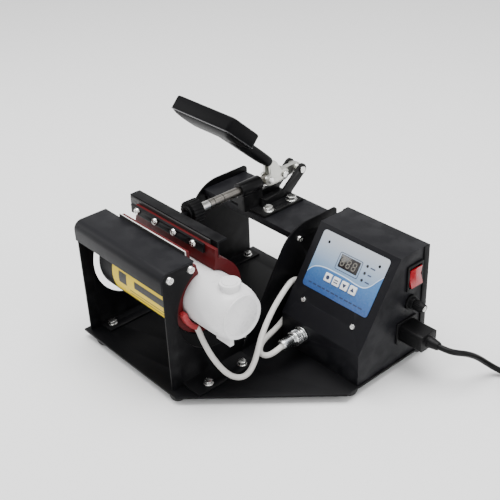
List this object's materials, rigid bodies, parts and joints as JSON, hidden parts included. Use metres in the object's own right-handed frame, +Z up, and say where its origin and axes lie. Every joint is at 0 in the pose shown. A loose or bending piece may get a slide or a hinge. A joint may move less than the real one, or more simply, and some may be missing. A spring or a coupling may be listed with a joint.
{
  "type": "mug heat press",
  "caption": "Tabletop mug heat press with a silicone wrap heater, push clamp, sloping control box and mains lead, holding a small white cup.",
  "frame": {"origin": "middle of the press's box without its cords, on the surface that the feet stand on", "axes": "+X along the heater's axis towards the control box, +Y away from the operator, +Z up"},
  "size_m": [0.4888, 0.379, 0.2737],
  "materials": {
    "painted_steel": "semi-gloss powder coat",
    "powder_bridge": "semi-gloss powder coat",
    "zinc_fastener": "bright zinc plate",
    "steel_rod": "ground steel",
    "clamp_casting": "black painted casting",
    "red_silicone": "matte moulded silicone",
    "boot_silicone": "satin silicone",
    "white_sheet": "matte",
    "label_yellow": "printed film",
    "panel_film": "printed film",
    "display_black": "tinted",
    "led_red": "tinted lens",
    "key_plastic": "satin",
    "switch_red": "glossy",
    "black_plastic": "fine texture",
    "grip_plastic": "satin",
    "white_cup": "coated",
    "foot_rubber": "matte",
    "cord_rubber": "satin jacket",
    "cable_white": "satin jacket",
    "connector_metal": "plated",
    "board_green": "solder mask",
    "core_steel": "laminated"
  },
  "bodies": {
    "root": {"base_plate": "painted_steel", "rubber_feet": "foot_rubber", "stand_left_cheek": "painted_steel", "stand_right_cheek": "painted_steel", "stand_top_cover": "painted_steel", "stand_screws": "zinc_fastener", "base_bolts": "zinc_fastener", "heater_shell": "painted_steel", "blank_label": "label_yellow", "fixed_insulator": "white_sheet", "fixed_screws": "zinc_fastener", "heater_band_fixed": "red_silicone", "band_lead_boot": "boot_silicone", "clamp_body": "clamp_casting", "clamp_bolts": "zinc_fastener", "ear_pin": "zinc_fastener", "bridge_left_cheek": "painted_steel", "bridge_right_cheek": "painted_steel", "bridge_plate": "powder_bridge", "bridge_screws": "zinc_fastener", "box_shell": "painted_steel", "box_rear_cover": "painted_steel", "box_screws": "zinc_fastener", "panel_overlay": "panel_film", "display_module": "display_black", "led_lenses": "led_red", "circuit_board": "board_green", "transformer": "core_steel", "power_relay": "white_sheet", "switch_frame": "black_plastic", "fuse_holder": "black_plastic", "power_inlet": "black_plastic", "mains_connector": "black_plastic", "mains_cord": "cord_rubber", "mains_coil": "cord_rubber", "mains_plug": "black_plastic", "heater_socket": "connector_metal", "connector_body": "connector_metal", "heater_cable": "cable_white"},
    "plunger": {"plunger": "steel_rod", "plunger_pin": "zinc_fastener", "rail_bracket": "powder_bridge", "pressure_rail": "powder_bridge", "rail_clamp_strip": "powder_bridge", "rail_screws": "zinc_fastener", "rail_insulator": "white_sheet", "heater_band_moving": "red_silicone"},
    "handle": {"handle_arm": "steel_rod", "handle_grip": "grip_plastic", "link_pin": "zinc_fastener"},
    "link": {"toggle_link": "steel_rod"},
    "knob": {"pressure_knob": "black_plastic"},
    "rocker": {"switch_rocker": "switch_red"},
    "key_set": {"key_set": "key_plastic"},
    "key_temperature": {"key_temperature": "key_plastic"},
    "key_down": {"key_down": "key_plastic"},
    "key_up": {"key_up": "key_plastic"},
    "fuse_cap": {"fuse_cap": "black_plastic"},
    "connector_ring": {"connector_ring": "connector_metal"},
    "cup": {"blank_cup": "white_cup"}
  },
  "joints": [
    {"name": "plunger_slide", "type": "slide", "parent": "root", "child": "plunger", "axis": [0, -1, 0], "range_m": [-0.01643, 0]},
    {"name": "handle_hinge", "type": "hinge", "parent": "plunger", "child": "handle", "pos_m": [-0.07475, 0.084, 0.1565], "axis": [1, 0, 0], "range_deg": [-50, 0]},
    {"name": "link_hinge", "type": "hinge", "parent": "root", "child": "link", "pos_m": [-0.07475, 0.13, 0.1565], "axis": [1, 0, 0], "range_deg": [0, 50]},
    {"name": "knob_turn", "type": "hinge", "parent": "plunger", "child": "knob", "pos_m": [-0.07475, -0.027, 0.1565], "axis": [0, 1, 0], "continuous": true},
    {"name": "rocker_tilt", "type": "hinge", "parent": "root", "child": "rocker", "pos_m": [0.13325, 0.0985, 0.1115], "axis": [0, 1, 0], "range_deg": [0, 14]},
    {"name": "key_set_press", "type": "slide", "parent": "root", "child": "key_set", "axis": [0, 0.8314, -0.5557], "range_m": [0, 0.0008], "stiffness_N_per_m": 300},
    {"name": "key_temperature_press", "type": "slide", "parent": "root", "child": "key_temperature", "axis": [0, 0.8314, -0.5557], "range_m": [0, 0.0008], "stiffness_N_per_m": 300},
    {"name": "key_down_press", "type": "slide", "parent": "root", "child": "key_down", "axis": [0, 0.8314, -0.5557], "range_m": [0, 0.0008], "stiffness_N_per_m": 300},
    {"name": "key_up_press", "type": "slide", "parent": "root", "child": "key_up", "axis": [0, 0.8314, -0.5557], "range_m": [0, 0.0008], "stiffness_N_per_m": 300},
    {"name": "fuse_cap_turn", "type": "hinge", "parent": "root", "child": "fuse_cap", "pos_m": [0.14875, 0.094, 0.0805], "axis": [1, 0, 0], "range_deg": [0, 90]},
    {"name": "connector_ring_turn", "type": "hinge", "parent": "root", "child": "connector_ring", "pos_m": [0.05425, 0.004, 0.0355], "axis": [0, 1, 0], "continuous": true},
    {"name": "cup_slide", "type": "slide", "parent": "root", "child": "cup", "axis": [1, 0, 0], "range_m": [0, 0.06]}
  ],
  "couplings": [
    {"joint": "plunger_slide", "follows": "handle_hinge", "m_per_rad": 0.018827},
    {"joint": "link_hinge", "follows": "handle_hinge", "ratio": -1}
  ]
}
